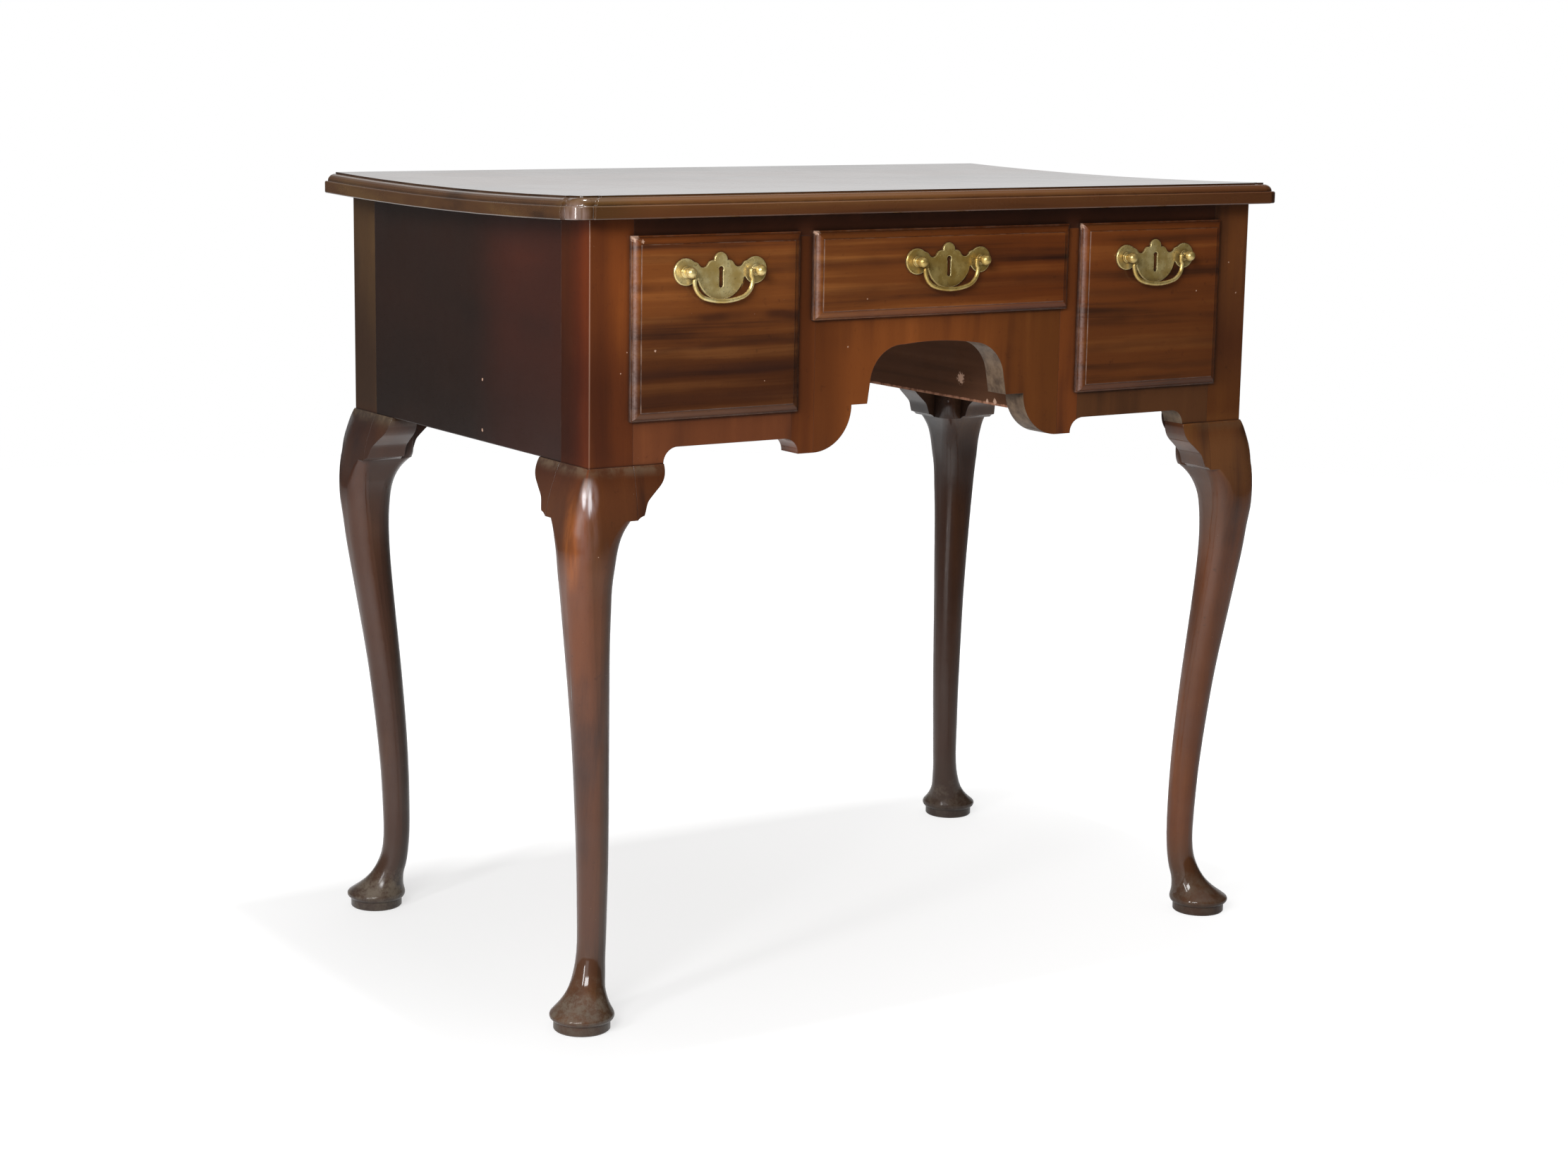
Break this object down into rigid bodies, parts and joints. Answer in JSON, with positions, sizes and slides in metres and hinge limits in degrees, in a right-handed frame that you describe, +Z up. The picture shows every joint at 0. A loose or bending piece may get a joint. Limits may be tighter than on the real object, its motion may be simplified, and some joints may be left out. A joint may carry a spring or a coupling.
{
  "type": "lowboy",
  "caption": "Small dressing table on cabriole legs, with lipped drawers over an arched kneehole, shaped apron and drop handles.",
  "frame": {"origin": "centre of the overall footprint, on the floor", "axes": "+X to the viewer's right along the front, +Y from front to back, +Z up"},
  "size_m": [0.762, 0.4878, 0.7097],
  "materials": {
    "mahogany": "polished, worn at the feet and edges",
    "mahogany_top": "waxed to a gloss",
    "mahogany_front": "polished, streaked figure",
    "mahogany_side": "darkened polish",
    "mahogany_dark": "unpolished, stained",
    "oak": "bare, aged",
    "brass": "aged"
  },
  "bodies": {
    "case": {"top": "mahogany_top", "leg_front_left": "mahogany", "leg_front_right": "mahogany", "leg_rear_left": "mahogany", "leg_rear_right": "mahogany", "knee_block_front_left_front": "mahogany", "knee_block_front_left_side": "mahogany", "knee_block_front_right_front": "mahogany", "knee_block_front_right_side": "mahogany", "knee_block_rear_left_back": "mahogany", "knee_block_rear_left_side": "mahogany", "knee_block_rear_right_back": "mahogany", "knee_block_rear_right_side": "mahogany", "side_panel_left": "mahogany_side", "side_panel_right": "mahogany_side", "back_board": "oak", "top_rail": "mahogany", "divider_left": "mahogany", "divider_right": "mahogany", "apron": "mahogany", "lower_rail_left": "mahogany", "lower_rail_right": "mahogany", "partition_left": "mahogany_dark", "partition_right": "mahogany_dark", "centre_runner_left": "oak", "centre_runner_right": "oak", "inner_runner_left": "oak", "inner_runner_right": "oak", "outer_runner_left": "oak", "outer_runner_right": "oak", "kicker_left": "oak", "kicker_right": "oak"},
    "drawer_left": {"drawer_left_front": "mahogany_front", "drawer_left_side_left": "oak", "drawer_left_side_right": "oak", "drawer_left_back": "oak", "drawer_left_bottom": "oak", "plate_left": "brass", "handle_posts_left": "brass", "handle_nuts_left": "brass"},
    "drawer_centre": {"drawer_centre_front": "mahogany_front", "drawer_centre_side_left": "oak", "drawer_centre_side_right": "oak", "drawer_centre_back": "oak", "drawer_centre_bottom": "oak", "plate_centre": "brass", "handle_posts_centre": "brass", "handle_nuts_centre": "brass"},
    "drawer_right": {"drawer_right_front": "mahogany_front", "drawer_right_side_left": "oak", "drawer_right_side_right": "oak", "drawer_right_back": "oak", "drawer_right_bottom": "oak", "plate_right": "brass", "handle_posts_right": "brass", "handle_nuts_right": "brass"},
    "bail_left": {"bail_left": "brass"},
    "bail_centre": {"bail_centre": "brass"},
    "bail_right": {"bail_right": "brass"}
  },
  "joints": [
    {"name": "drawer_left_slide", "type": "slide", "parent": "case", "child": "drawer_left", "axis": [0, -1, 0], "range_m": [0, 0.3]},
    {"name": "drawer_centre_slide", "type": "slide", "parent": "case", "child": "drawer_centre", "axis": [0, -1, 0], "range_m": [0, 0.3]},
    {"name": "drawer_right_slide", "type": "slide", "parent": "case", "child": "drawer_right", "axis": [0, -1, 0], "range_m": [0, 0.3]},
    {"name": "bail_left_hinge", "type": "hinge", "parent": "drawer_left", "child": "bail_left", "pos_m": [-0.2335, -0.2353, 0.646], "axis": [-1, 0, 0], "range_deg": [-3, 170]},
    {"name": "bail_centre_hinge", "type": "hinge", "parent": "drawer_centre", "child": "bail_centre", "pos_m": [0, -0.2353, 0.648], "axis": [-1, 0, 0], "range_deg": [-3, 170]},
    {"name": "bail_right_hinge", "type": "hinge", "parent": "drawer_right", "child": "bail_right", "pos_m": [0.2335, -0.2353, 0.645], "axis": [-1, 0, 0], "range_deg": [-3, 170]}
  ]
}
